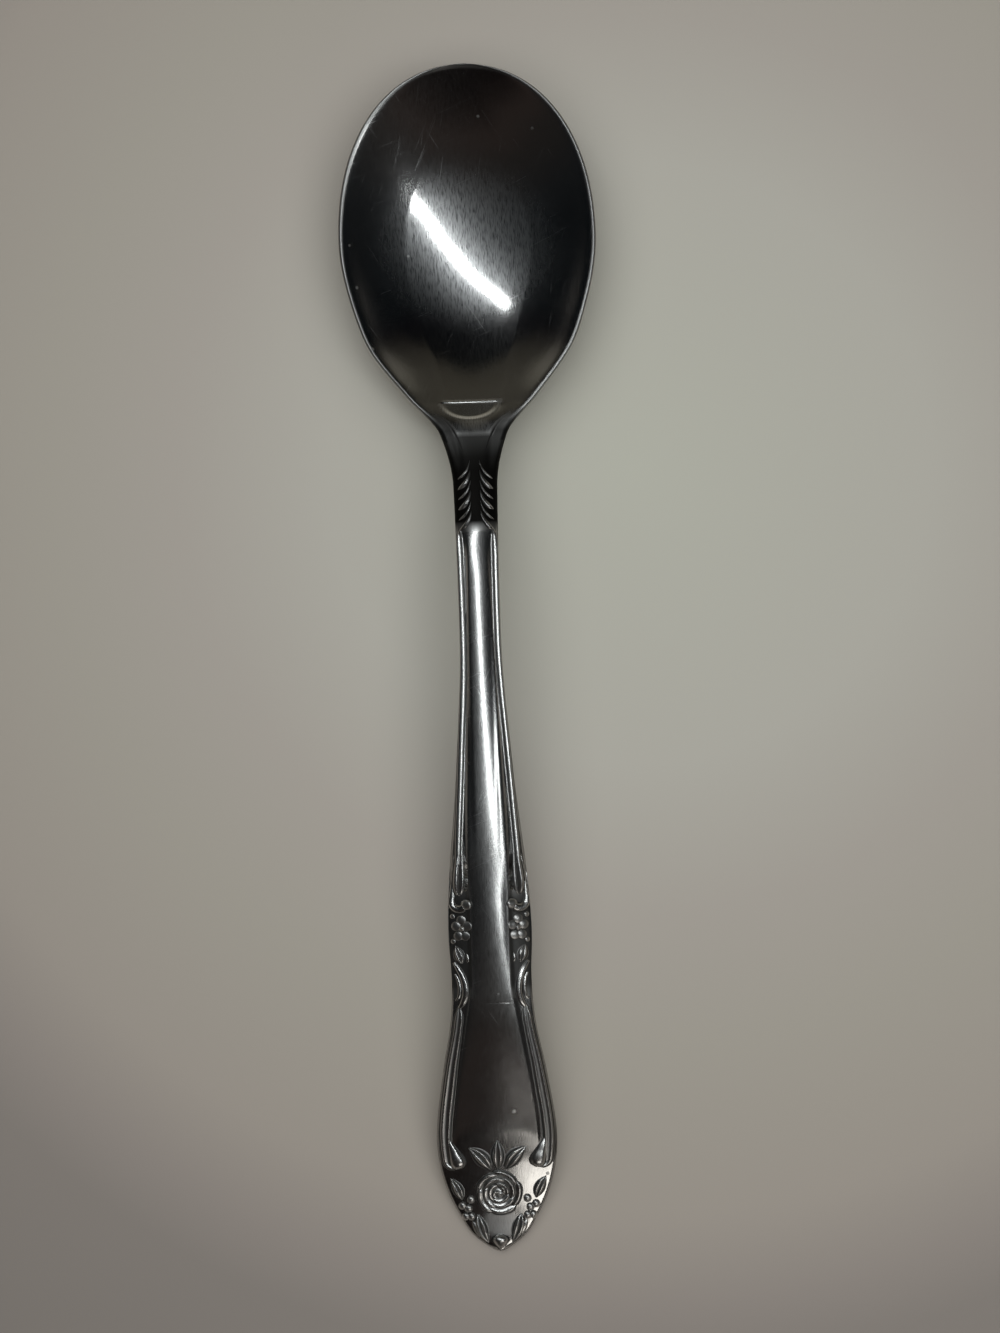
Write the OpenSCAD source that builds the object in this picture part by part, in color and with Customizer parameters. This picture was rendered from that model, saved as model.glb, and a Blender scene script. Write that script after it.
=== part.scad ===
// Sugar spoon of die-struck steel: a broad oval bowl, a slim threaded stem and a flowered handle end.
// It lies as on a table, with Z up from the table top, the bowl towards +Y and the handle tip towards -Y.
// Every section is lofted from the same five lines, so neighbours share the ring where they meet.
// Places along the spoon are measured from the handle tip and named with s.

/* [Lengths] */
// Handle end, from its tip to the waist
end_l = 32; // [29:0.5:40]
// From the tip to the widest place of the handle end
end_round_l = 15; // [14:0.5:17]
// Shoulder, the flowered stretch above the waist
shoulder_l = 15; // [14:0.5:18]
// Stem, from the shoulder to the leaf marks
stem_l = 45; // [36:0.5:60]
// From the leaf marks down to the slimmest place of the stem
stem_slim_l = 13; // [10:0.5:16]
// Neck, from the leaf marks to the heel of the bowl
neck_l = 13; // [11.5:0.5:17]
// Bowl, from its heel to its front rim
bowl_l = 47; // [43:0.5:54]
// From the widest place of the bowl to its front rim
bowl_front_l = 22; // [20:0.5:25]

/* [Widths] */
// Widest place of the handle end
end_w = 15.5; // [14.5:0.1:18]
// Handle end halfway to the waist
flank_w = 13.4; // [12.6:0.1:14]
// Waist between the handle end and the shoulder
waist_w = 10.5; // [10.3:0.1:12]
// Shoulder at its narrowest, below the flowers
throat_w = 10.2; // [9.8:0.1:10.3]
// Shoulder at its flowers
shoulder_w = 10.7; // [10.4:0.1:12.5]
// Stem halfway along its taper
taper_w = 7.2; // [6.4:0.1:8]
// Slimmest place of the stem
stem_w = 5.3; // [5:0.1:6]
// Neck beside the leaf marks
neck_w = 5.7; // [5.4:0.1:6.6]
// Heel, where the neck opens into the bowl
heel_w = 8.6; // [8:0.1:10.5]
// Bowl just past the heel
root_w = 17.1; // [15.5:0.1:18.5]
// Bowl on its rear curve
cheek_w = 27.6; // [26:0.1:29]
// Widest place of the bowl
bowl_w = 32.9; // [31:0.1:36]

/* [Heights] */
// Depth of the bowl below its rim
bowl_depth = 6.8; // [6:0.1:7.6]
// Lift of the front rim above the lowest place of the rim
front_lift = 0.5; // [0.2:0.1:1]
// Edge of the heel above the table
heel_h = 8.4; // [8.2:0.1:9.2]
// Edge above the table where the neck meets the stem
neck_h = 10.2; // [9.8:0.1:10.6]
// Edge of the stem above the table, at the top of its arch
arch_h = 11; // [10.8:0.1:12]
// Edge above the table where the stem meets the shoulder
stem_foot_h = 9.9; // [9.2:0.1:10.4]
// Edge of the waist above the table
waist_h = 8.1; // [7.4:0.1:8.7]
// Edge of the handle end above the table at its widest place
wide_h = 4.3; // [3.7:0.1:4.9]

/* [Thickness] */
// Bowl wall at its deepest place
bowl_wall = 1.2; // [0.9:0.05:1.6]
// Rim of the bowl
rim_t = 1.1; // [0.8:0.05:1.4]
// Edge of the neck
neck_edge_t = 1.7; // [1.4:0.05:2.2]
// Edge of the stem
stem_edge_t = 1.5; // [1.2:0.05:2]
// Edge of the handle end
end_edge_t = 1.1; // [0.9:0.05:1.5]
// Rounding of the edge all round the spoon
edge_r = 0.5; // [0.35:0.05:0.6]

/* [Crown and belly] */
// Crown of the front at the handle tip
tip_crown = 0.3; // [0.1:0.05:0.5]
// Crown of the front at the widest place of the handle end
end_crown = 0.8; // [0.5:0.05:1.2]
// Crown of the front at the waist
waist_crown = 1.1; // [0.8:0.05:1.4]
// Crown of the front where the stem meets the shoulder
foot_crown = 1.25; // [0.9:0.05:1.5]
// Crown of the front of the stem
stem_crown = 0.95; // [0.6:0.05:1.2]
// Crown of the front of the neck
neck_crown = 0.75; // [0.5:0.05:0.9]
// Roundness of the back of the handle end
end_belly = 0.2; // [0.1:0.05:0.4]
// Roundness of the back of the stem
stem_belly = 0.4; // [0.3:0.05:0.8]
// Roundness of the back of the neck
neck_belly = 0.7; // [0.4:0.05:1]

/* [Middle panel] */
// Height of the raised panel along the middle of the handle
panel_h = 0.25; // [0.1:0.01:0.35]
// Width of the slope at the panel's edge
panel_edge_w = 0.5; // [0.4:0.05:0.7]
// Half width of the panel at the slimmest place of the stem
panel_slim = 1.5; // [1.3:0.05:1.7]
// Half width of the panel at the flowers
panel_shoulder = 2.3; // [2:0.05:2.6]
// Half width of the panel at the widest place of the handle end
panel_end = 5.1; // [4.6:0.05:5.4]
// From the handle tip to the lower end of the panel
panel_at = 14.2; // [13.9:0.1:14.8]

/* [Heel marks] */
// From the heel to the straight side of the half moon
moon_at = 4; // [3.4:0.1:4.4]
// Length of the half moon's straight side
moon_w = 7.7; // [6:0.1:8.5]
// Height of the half moon
moon_l = 2.4; // [1.8:0.1:2.8]
// Depth of the half moon
moon_depth = 0.16; // [0.1:0.02:0.3]
// Length of the two neck flutes
flute_l = 5.6; // [4.5:0.1:6]
// Depth of the two neck flutes
flute_depth = 0.15; // [0.1:0.01:0.3]

/* [Threads and scrolls] */
// Width of the stem's edge thread
stem_thread_w = 0.82; // [0.6:0.02:0.9]
// Width of the stem's edge thread at its club end
stem_club_w = 1.3; // [1:0.02:1.5]
// Width of the handle end's edge thread
end_thread_w = 1.4; // [1.1:0.02:1.5]
// Height of the threads and scrolls
thread_h = 0.32; // [0.2:0.02:0.45]
// Radius of the volute that ends the handle end's thread
volute_r = 0.7; // [0.66:0.02:0.8]

/* [Flowers and leaves] */
// Outer radius of the rose
rose_r = 2.63; // [2.3:0.01:2.8]
// From the handle tip to the middle of the rose
rose_at = 7.6; // [7.4:0.1:7.8]
// Height of the rose at its heart
rose_h = 0.62; // [0.4:0.02:0.8]
// Length of the leaf that stands above the rose
rose_leaf_l = 3.5; // [3:0.1:4]
// Half width of the shoulder flower
flower_rx = 0.95; // [0.85:0.01:1.05]
// Half length of the shoulder flower
flower_rs = 1.7; // [1.4:0.01:1.8]
// Height of leaves, petals and buds
leaf_h = 0.3; // [0.2:0.02:0.4]
// Pitch of the leaf marks on the neck
mark_pitch = 1.3; // [1.2:0.01:1.5]
// Width of the bud at the handle tip
tip_bud_w = 1.9; // [1.6:0.02:2]
// Length of the bud at the handle tip
tip_bud_l = 1.8; // [1.6:0.02:2]

/* [Hidden] */

// Clearance under the raised ornament, which follows the crowned front
seat_gap = 0.01;
// Smallest half width and height at the end of a ridge
ridge_end = 0.07;
// Points across the back and round each edge
back_n = 10;
edge_n = 4;
// Fullness of the outlines of the handle tip and of the bowl front, and of the bowl's rise to the heel
tip_power = 0.69;
bowl_power = 2.15;
heel_power = 1.2;

// Half widths of the panel between its driving places
tip_panel = 0.1;
panel_waist = 3.2;
panel_taper = 2.05;
panel_top = 1.15;
heel_panel = 2;
bowl_panel = 8;

// Places along the spoon
s_wide = end_round_l;
s_waist = end_l;
s_flank = (s_wide + s_waist) / 2;
s_throat = s_waist + 4;
s_stem = s_waist + shoulder_l;
s_neck = s_stem + stem_l;
s_slim = s_neck - stem_slim_l;
s_arch = s_neck - 20.5;
s_taper = (s_stem + s_slim) / 2;
s_heel = s_neck + neck_l;
s_root = s_heel + 5;
s_cheek = s_heel + 12.7;
s_front = s_heel + bowl_l;
s_deep = s_front - bowl_front_l;
s_keel = s_deep - 3;
s_moon = s_heel + moon_at;
s_flower = s_waist + 9.6;
s_mark = s_neck + 0.7;

// Heights that follow from the thicknesses, so that the bowl and the tip both touch the table
rim_h = bowl_depth + bowl_wall;
tip_h = end_edge_t + end_belly;

// How the crown's line carries on past the heel, so that the neck already leans towards the bowl there
heel_lead = 4;
heel_drop = 1;

// The five lines of the loft, each as [place, value]
width_line = [
    [s_wide, end_w / 2], [s_flank, flank_w / 2], [s_waist, waist_w / 2], [s_throat, throat_w / 2],
    [s_flower, shoulder_w / 2], [s_taper, taper_w / 2], [s_slim, stem_w / 2],
    [s_neck + neck_l / 2, neck_w / 2], [s_heel, heel_w / 2], [s_root, root_w / 2],
    [s_cheek, cheek_w / 2], [s_deep, bowl_w / 2]
];
height_line = [
    [0, tip_h], [s_wide, wide_h], [s_waist, waist_h], [s_stem, stem_foot_h], [s_arch, arch_h],
    [s_neck, neck_h], [s_heel, heel_h], [s_deep, rim_h], [s_front, rim_h + front_lift]
];
edge_line = [
    [0, end_edge_t], [s_waist, end_edge_t], [s_stem, stem_edge_t], [s_slim, stem_edge_t],
    [s_neck + neck_l / 2, neck_edge_t], [s_cheek, rim_t], [s_front, rim_t]
];
crown_line = [
    [0, tip_crown], [s_wide, end_crown], [s_waist, waist_crown], [s_stem, foot_crown], [s_slim, stem_crown],
    [s_neck + neck_l / 2, neck_crown], [s_heel, 0], [s_heel + heel_lead, -heel_drop]
];
belly_line = [
    [0, end_belly], [s_waist, end_belly], [s_stem, stem_belly], [s_slim, stem_belly],
    [s_neck + neck_l / 2, neck_belly], [s_heel, neck_belly], [s_cheek, 0], [s_front, 0]
];

// Half width of the raised panel, which carries on unseen to the tip and into the bowl
panel_line = [
    [0, tip_panel], [s_wide, panel_end], [s_waist - 2, panel_waist], [s_waist + 3, panel_shoulder + 0.15],
    [s_flower, panel_shoulder], [s_stem, panel_shoulder + 0.1], [s_taper, panel_taper],
    [s_slim, panel_slim], [s_neck, panel_top], [s_heel, heel_panel], [s_deep, bowl_panel],
    [s_front, tip_panel]
];

// Smooth curve through the points of a line, flat at its ends and at its crests, that never overshoots
function secant(line, i) = (line[i + 1][1] - line[i][1]) / (line[i + 1][0] - line[i][0]);
function tangent(line, i) =
    i == 0 || i == len(line) - 1 ? 0 :
    let (a = secant(line, i - 1), b = secant(line, i))
    let (before = line[i][0] - line[i - 1][0], after = line[i + 1][0] - line[i][0])
    a * b <= 0 ? 0 : 3 * (before + after) / ((2 * after + before) / a + (after + 2 * before) / b);
function along(line, s, i = 0) =
    i < len(line) - 2 && s > line[i + 1][0] ? along(line, s, i + 1) :
    let (h = line[i + 1][0] - line[i][0], u = max(0, min(1, (s - line[i][0]) / h)), v = 1 - u)
    (1 + 2 * u) * v * v * line[i][1] + u * v * v * h * tangent(line, i)
    + u * u * (3 - 2 * u) * line[i + 1][1] - u * u * v * h * tangent(line, i + 1);

// Form of the spoon
tip_bump = 0.36;
tip_bump_at = 2.4;
tip_bump_l = 1.1;
function half_width(s) =
    s < s_wide ? end_w / 2 * pow(1 - pow(1 - s / s_wide, 2), tip_power)
        + tip_bump * exp(-pow((s - tip_bump_at) / tip_bump_l, 2)) :
    s > s_deep ? bowl_w / 2 * pow(1 - pow((s - s_deep) / bowl_front_l, bowl_power), 1 / bowl_power) :
    along(width_line, s);
function rounding(s) = min(edge_r, 0.75 * half_width(s));
function dish(s) =
    s <= s_heel ? 0 :
    s < s_keel ? pow(1 - pow((s_keel - s) / (s_keel - s_heel), 2), heel_power) :
    1 - pow((s - s_keel) / (s_front - s_keel), 2);
function crown(s) = s > s_heel ? -bowl_depth * dish(s) : along(crown_line, s);
function belly(s) = along(belly_line, s) + (along(height_line, s_keel) - rim_t) * dish(s);
function ease(u) = let (v = max(0, min(1, u))) v * v * (3 - 2 * v);

// Half moon pressed into the heel, straight towards the bowl and round towards the neck
moon_step_l = 0.3;
moon_soft = 0.35;
function moon(x, s) =
    let (v = (s_moon - s) / moon_l, r = norm([2 * x / moon_w, v]))
    moon_depth * ease(v * moon_l / moon_step_l) * ease((1 - r) / moon_soft);

// Two flutes that open from the leaf marks towards the heel
flute_in = 1.75;
flute_out = 2.75;
flute_r = 0.42;
flute_past_heel = 0.5;
function flute(x, s) =
    let (u = (s - s_heel - flute_past_heel + flute_l) / flute_l)
    u <= 0 || u >= 1 ? 0 :
    let (off = (abs(x) - flute_in - (flute_out - flute_in) * u * u) / flute_r)
    flute_depth * sin(180 * u) * exp(-off * off);

// Raised panel, from its round head below the leaf marks to its lower end above the rose
panel_head_l = 1.1;
panel_head_bow = 0.6;
panel_foot_l = 3.2;
panel_foot_bow = 1.4;
function panel_half(s) = min(along(panel_line, s), 0.8 * (half_width(s) - rounding(s)));
function panel(x, s) =
    let (half = panel_half(s), t = x / half)
    panel_h * ease((half - abs(x)) / panel_edge_w + 1)
    * ease((s - panel_at + panel_foot_bow * t * t) / panel_foot_l)
    * ease((s_neck - panel_head_bow * t * t - s) / panel_head_l);

function front_z(x, s) =
    let (t = min(1, abs(x) / (half_width(s) - rounding(s))))
    along(height_line, s) + crown(s) * (1 - t * t) + panel(x, s) - moon(x, s) - flute(x, s);

// Places across the front, closer together on the slopes of the panel
outer_n = 4;
slope_n = 2;
inner_n = 4;
function right_of(half, panel) =
    let (foot = min(panel + panel_edge_w, (panel + half) / 2))
    concat(
        [for (i = [1:inner_n]) panel * i / inner_n],
        [for (i = [1:slope_n]) panel + (foot - panel) * i / slope_n],
        [for (i = [1:outer_n]) foot + (half - foot) * i / outer_n]
    );
function across(half, panel) =
    let (right = right_of(half, panel), n = len(right))
    concat([for (i = [1:n]) -right[n - i]], [0], right);

// One ring of the loft: front from left to right, right edge, back, left edge
function ring(s, y) =
    let (r = rounding(s), half = half_width(s) - r)
    let (z = along(height_line, s), edge = along(edge_line, s), b = belly(s))
    concat(
        [for (x = across(half, panel_half(s))) [x, y, front_z(x, s)]],
        [for (i = [1:edge_n - 1]) let (a = 180 * i / edge_n)
            [half + r * sin(a), y, z - edge / 2 * (1 - cos(a))]],
        [for (i = [0:back_n]) let (t = 1 - 2 * i / back_n) [half * t, y, z - edge - b * (1 - t * t)]],
        [for (i = [1:edge_n - 1]) let (a = 180 * i / edge_n)
            [-half - r * sin(a), y, z - edge / 2 * (1 + cos(a))]]
    );

// Rings of each section. The tip and the bowl front close up by angle, the rest in even steps.
tip_n = 12;
tip_close_n = 7;
front_close_n = 13;
spray_n = 14;
thread_n = 9;
plain_n = 16;
front_close = 13.35;
function steps(from, to, n) = [for (i = [0:n - 1]) from + (to - from) * i / n];
s_close = s_wide * (1 - cos(90 * tip_close_n / tip_n));
s_plain = panel_at + 2;
end_stops = concat([for (i = [1:tip_close_n - 1]) s_wide * (1 - cos(90 * i / tip_n))],
    steps(s_close, s_plain, spray_n), steps(s_plain, s_waist, thread_n), [s_waist]);
shoulder_stops = concat(steps(s_waist, s_stem, thread_n), [s_stem]);
stem_stops = concat(steps(s_stem, s_neck, plain_n), [s_neck]);
neck_stops = concat(steps(s_neck, s_heel, plain_n), [s_heel]);
moon_from = s_moon - moon_l - 0.3;
moon_to = s_moon + 0.2;
bowl_stops = concat(
    steps(s_heel, moon_from, 3),
    steps(moon_from, moon_to, 10),
    steps(moon_to, s_deep, 12),
    [for (i = [0:front_close_n]) s_deep + bowl_front_l * sin(90 * i / front_close)]
);

// The spoon is centred on its own length
s_mid = (end_stops[0] + bowl_stops[len(bowl_stops) - 1]) / 2;

// Skin over a row of rings that all have as many points.
// Each end closes on a hub halfway between two opposite points of its ring.
module skin(rings, crest, foot) {
    m = len(rings[0]);
    n = len(rings);
    hubs = [for (r = [rings[0], rings[n - 1]]) (r[crest] + r[foot]) / 2];
    polyhedron(
        points = concat([for (r = rings) each r], hubs),
        faces = [
            for (j = [0:m - 1]) let (k = (j + 1) % m) each concat(
                [[n * m, j, k], [n * m + 1, (n - 1) * m + k, (n - 1) * m + j]],
                [for (i = [0:n - 2]) let (a = i * m, b = a + m)
                    each [[a + j, b + j, b + k], [a + j, b + k, a + k]]]
            )
        ],
        convexity = 8
    );
}

module section(stops) {
    front_n = len(right_of(1, 0.5));
    skin([for (s = stops) ring(s, s - s_mid)], front_n, 2 * front_n + edge_n + back_n / 2);
}

// Raised ornament is drawn in plan, as [x, s], and follows the crowned front below it
function lerp(a, b, u) = a + (b - a) * u;
function on_front(x, s, h) = [x, s - s_mid, front_z(x, s) + seat_gap + h];

// Profiles across a ridge: from its left foot over its back to its right foot, and under it
round_back = [[-1, 0], [-0.72, 0.66], [0, 1], [0.72, 0.66], [1, 0], [0, 0]];
veined_back = [[-1, 0], [-0.5, 1], [0, 0.4], [0.5, 1], [1, 0], [0, 0]];

// Ridge along a path of [x, s, half width, height]
module ridge(path, profile = round_back) {
    last = len(path) - 1;
    crest = 2;
    foot = 5;
    skin([for (i = [0:last])
        let (p = path[i], d = path[min(i + 1, last)] - path[max(i - 1, 0)])
        let (side = [d[1], -d[0]] / norm([d[0], d[1]]))
        [for (k = profile) let (x = p[0] + side[0] * k[0] * p[2], s = p[1] + side[1] * k[0] * p[2])
            on_front(x, s, k[1] * p[3])]
    ], crest, foot);
}

// How full a ridge is along its length: a leaf swells between two points, a thread has round ends
function swell(u) = pow(sin(180 * u), 0.7);
function round_end(u, share) = sqrt(max(0.04, min(1, u / share)));
function leaf_path(base, tip, w, h = leaf_h, n = 6) =
    [for (i = [0:n]) let (u = i / n)
        [lerp(base[0], tip[0], u), lerp(base[1], tip[1], u),
         max(ridge_end, w / 2 * swell(u)), max(ridge_end, h * swell(u))]];

// Oval path about a middle, its half width running from first to last
function oval_path(middle, rx, rs, from, to, half, h, n) =
    [for (i = [0:n]) let (u = i / n, a = lerp(from, to, u), full = round_end(u, 0.3) * round_end(1 - u, 0.2))
        [middle[0] + rx * cos(a), middle[1] + rs * sin(a), lerp(half[0], half[1], u) * full, h * full]];

// Places its child on the front, square to it
module seat(x, s) {
    reach = 0.2;
    pitch = atan((front_z(x, s + reach) - front_z(x, s - reach)) / (2 * reach));
    roll = -atan((front_z(x + reach, s) - front_z(x - reach, s)) / (2 * reach));
    translate(on_front(x, s, 0))
        rotate([pitch, roll, 0])
            children();
}

module bead(x, s, r, h) {
    seat(x, s)
        rotate_extrude($fn = 48)
            polygon(concat([[0, 0]], [for (a = [0:18:90]) [r * cos(a), h * sin(a)]]));
}

module both_sides() {
    children();
    mirror([1, 0, 0])
        children();
}

module bowl() {
    color("#c4c6c8")
        section(bowl_stops);
}

module neck() {
    color("#bcbcba")
        section(neck_stops);
}

module stem() {
    color("#c4c6c8")
        section(stem_stops);
}

module shoulder() {
    color("#bcbcba")
        section(shoulder_stops);
}

module handle_end() {
    color("#c4c6c8")
        section(end_stops);
}

// Slanting leaves in two rows on the neck, a bold and a fine one by turns
mark_n = 6;
mark_in = 0.65;
mark_out = neck_w / 2 - 0.8;
mark_rise = 2.3;
mark_bold_w = 0.62;
mark_fine_w = 0.4;
module leaf_marks() {
    color("#a8a6a2")
        both_sides()
            for (k = [0:mark_n - 1])
                let (low = s_mark + k * mark_pitch, bold = k % 2 == 0)
                    ridge(leaf_path([mark_out, low], [mark_in, low + mark_rise],
                        bold ? mark_bold_w : mark_fine_w, bold ? leaf_h : 0.7 * leaf_h), veined_back);
}

// Thread along each edge of the stem, which leaves the edge and swells into a club at the shoulder
stem_thread_in = 0.55;
stem_club_in = 1.95;
s_club = s_stem - 1.3;
stem_thread_n = 26;
function stem_thread_at(u) =
    let (s = lerp(s_neck - 0.1, s_club, u), late = pow(u, 4))
    let (full = round_end(1 - u, 0.017) * round_end(u, 0.025))
    [half_width(s) - lerp(stem_thread_in, stem_club_in, late), s,
     lerp(stem_thread_w, stem_club_w, late) / 2 * full, thread_h * full];
module stem_threads() {
    color("#b4b3b0")
        both_sides()
            ridge([for (i = [0:stem_thread_n]) stem_thread_at((1 - cos(180 * i / stem_thread_n)) / 2)]);
}

// Hook beside each club: a tail down the edge, a round turn under the club and a bead at its end
hook_edge = 0.6;
hook_r = 1.05;
s_hook = s_club - 0.6;
hook_x = half_width(s_hook) - hook_edge - hook_r;
hook_tail_l = 5.4;
hook_turn = 112;
hook_half = 0.32;
hook_bead_turn = 155;
hook_bead_r = 0.5;
hook_tail_n = 6;
hook_turn_n = 7;
module stem_scrolls() {
    tail = [for (i = [0:hook_tail_n - 1]) let (u = i / hook_tail_n, s = s_hook + hook_tail_l * (1 - u))
        [half_width(s) - hook_edge, s, hook_half * lerp(0.3, 0.85, u), thread_h * lerp(0.4, 0.9, u)]];
    turn = [for (i = [0:hook_turn_n])
        let (u = i / hook_turn_n, a = -hook_turn * u, full = round_end(1 - u, 0.2))
        [hook_x + hook_r * cos(a), s_hook + hook_r * sin(a), hook_half * full, thread_h * full]];
    color("#b4b3b0")
        both_sides() {
            ridge(concat(tail, turn));
            bead(hook_x + hook_r * cos(hook_bead_turn), s_hook - hook_r * sin(hook_bead_turn),
                hook_bead_r, thread_h);
        }
}

// Long five-petalled flower on each shoulder, with two buds at the edge beside it
flower_x = half_width(s_flower) - 2.1;
petal_n = 5;
petal_w = 0.52;
flower_heart_r = 0.27;
flower_bud_r = 0.28;
flower_bud_pitch = 1.1;
module shoulder_flowers() {
    middle = [flower_x, s_flower];
    bud_x = flower_x + flower_rx + flower_bud_r + 0.08;
    color("#a8a6a2")
        both_sides() {
            for (k = [0:petal_n - 1])
                let (a = 90 + 360 * k / petal_n, way = [cos(a), sin(a)])
                    ridge(leaf_path(middle + way * (flower_heart_r + 0.06),
                        middle + [flower_rx * way[0], flower_rs * way[1]], petal_w, leaf_h, 4), veined_back);
            bead(flower_x, s_flower, flower_heart_r, leaf_h);
            for (side = [-1, 1])
                bead(bud_x, s_flower + side * flower_bud_pitch / 2, flower_bud_r, leaf_h);
        }
}

// Below the flower, a leaf and a stalk, and a long scroll with a curl inside it
scroll_x = half_width(s_waist) - 0.85;
s_scroll = s_waist + 2.9;
scroll_rx = 1.25;
scroll_rs = 2.4;
scroll_half = [0.34, 0.42];
curl_rx = 0.42;
curl_rs = 1.2;
curl_half = [0.2, 0.2];
leaf_foot = [-0.8, 2.85];
leaf_head = [0.1, 4.7];
leaf_w = 0.9;
stalk_foot = [-1.3, 3.35];
stalk_head = [-1.2, 4.9];
stalk_w = 0.45;
module shoulder_leaves() {
    middle = [scroll_x, s_scroll];
    color("#a8a6a2")
        both_sides() {
            ridge(leaf_path(middle + leaf_foot, middle + leaf_head, leaf_w), veined_back);
            ridge(leaf_path(middle + stalk_foot, middle + stalk_head, stalk_w));
            ridge(oval_path(middle, scroll_rx, scroll_rs, 98, 262, scroll_half, thread_h, 12));
            ridge(oval_path(middle - [0, 0.4], curl_rx, curl_rs, 110, 280, curl_half, leaf_h, 8));
        }
}

// Thread along each edge of the handle end, from a head at the waist to a volute beside the rose
end_head_in = 1.7;
end_upper_in = 1.2;
end_lower_in = 1.5;
s_head = s_waist - 0.8;
s_volute = 12.2;
volute_x = half_width(s_volute) - end_lower_in - volute_r;
volute_turn = 210;
volute_close = 0.72;
volute_share = 0.85;
end_thread_n = 18;
volute_n = 9;
function end_thread_at(u) =
    let (s = lerp(s_head, s_volute, u), early = pow(1 - u, 6))
    let (full = lerp(0.5, 1, ease(2 * u)) * lerp(1, volute_share, ease(4 * u - 3)) * round_end(u, 0.04))
    [half_width(s) - lerp(lerp(end_upper_in, end_lower_in, u), end_head_in, early), s,
     end_thread_w / 2 * full, thread_h];
function volute_at(u) =
    let (a = -volute_turn * u, r = volute_r * lerp(1, volute_close, u))
    [volute_x + r * cos(a), s_volute + r * sin(a),
     end_thread_w / 2 * lerp(volute_share, 0.5, u) * round_end(1 - u, 0.12), thread_h * lerp(1, 0.9, u)];
module end_threads() {
    color("#b4b3b0")
        both_sides()
            ridge(concat([for (i = [0:end_thread_n]) end_thread_at(i / end_thread_n)],
                [for (i = [1:volute_n]) volute_at(i / volute_n)]));
}

// Rose of three rings of curled petals round a double heart.
// Each ring is [petals, radius, half width, first angle], with sizes as shares of the rose's radius.
rose_rings = [[5, 0.87, 0.125, 10], [4, 0.64, 0.09, 35], [3, 0.4, 0.1, 80]];
petal_gap = 7;
rose_heart_r = 0.145 * rose_r;
rose_low = 0.65;
function petal_path(r, from, to, half, h, n = 6) =
    [for (i = [0:n]) let (u = i / n, a = lerp(from, to, u), full = max(0.3, sqrt(sin(180 * u))))
        [r * cos(a), rose_at + r * sin(a), half * full, h * lerp(0.8, 1, full)]];
module rose() {
    last = len(rose_rings) - 1;
    color("#a8a6a2") {
        for (k = [0:last])
            let (layer = rose_rings[k], pitch = 360 / layer[0], h = rose_h * lerp(rose_low, 0.95, k / last))
                for (i = [0:layer[0] - 1])
                    let (from = layer[3] + i * pitch, to = from + pitch - petal_gap)
                        ridge(petal_path(rose_r * layer[1], from, to, rose_r * layer[2], h));
        for (side = [-1, 1])
            bead(side * 0.6 * rose_heart_r, rose_at + side * 0.95 * rose_heart_r, rose_heart_r, rose_h);
    }
}

// Three leaves that fan out above the rose
rose_leaf_w = 1.25;
side_leaf_w = 1.1;
side_leaf_x = 1.15;
side_leaf_share = 0.82;
module rose_leaves() {
    s_base = rose_at + rose_r + 0.65;
    side_tip_x = volute_x - volute_r - 0.8;
    color("#a8a6a2") {
        ridge(leaf_path([0, s_base], [0, s_base + rose_leaf_l], rose_leaf_w, leaf_h, 8), veined_back);
        both_sides()
            ridge(leaf_path([side_leaf_x, s_base], [side_tip_x, s_base + side_leaf_share * rose_leaf_l],
                side_leaf_w, leaf_h, 8), veined_back);
    }
}

// Beside and below the rose, a leaf at the edge, a spray of buds and two long leaves towards the tip
spray_buds = [[-0.4, 1.25], [0, 0], [0.7, 0.35], [-0.3, -0.95], [0.4, -1.2]];
spray_bud_r = 0.36;
edge_leaf_rise = 2.2;
edge_leaf_w = 1;
long_leaf_w = 1;
thin_leaf_w = 0.5;
s_long_tip = 1.25;
s_thin_tip = 1.85;
module side_sprays() {
    s_bud = rose_at - 1.8;
    bud_x = half_width(s_bud) - 1.7;
    s_edge = rose_at - 0.2;
    s_crest = s_edge + edge_leaf_rise;
    color("#a8a6a2")
        both_sides() {
            ridge(leaf_path([half_width(s_edge) - 1.75, s_edge], [half_width(s_crest) - 1.15, s_crest],
                edge_leaf_w), veined_back);
            for (bud = spray_buds)
                bead(bud_x + bud[0], s_bud + bud[1], spray_bud_r, leaf_h + 0.05);
            ridge(leaf_path([bud_x - 1.25, s_bud - 1.05], [half_width(s_long_tip) - 0.95, s_long_tip],
                long_leaf_w), veined_back);
            ridge(leaf_path([bud_x - 0.6, s_bud - 1.9], [half_width(s_thin_tip) - 0.55, s_thin_tip],
                thin_leaf_w));
        }
}

// Bud at the tip, broad above and pointed below
tip_bud_n = 7;
tip_bud_h = 0.42;
s_tip_bud = 0.45;
module tip_bud() {
    color("#b4b3b0")
        ridge([for (i = [0:tip_bud_n])
            let (u = i / tip_bud_n, full = max(0.12, pow(sin(180 * pow(u, 0.65)), 0.8)))
            [0, s_tip_bud + tip_bud_l * (1 - u), tip_bud_w / 2 * full, tip_bud_h * full]]);
}

bowl();
neck();
stem();
shoulder();
handle_end();
leaf_marks();
stem_threads();
stem_scrolls();
shoulder_flowers();
shoulder_leaves();
end_threads();
rose();
rose_leaves();
side_sprays();
tip_bud();
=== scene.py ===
import math
from bisect import bisect_left

import bpy
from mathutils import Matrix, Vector
from mathutils.bvhtree import BVHTree
from mathutils.kdtree import KDTree


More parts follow.
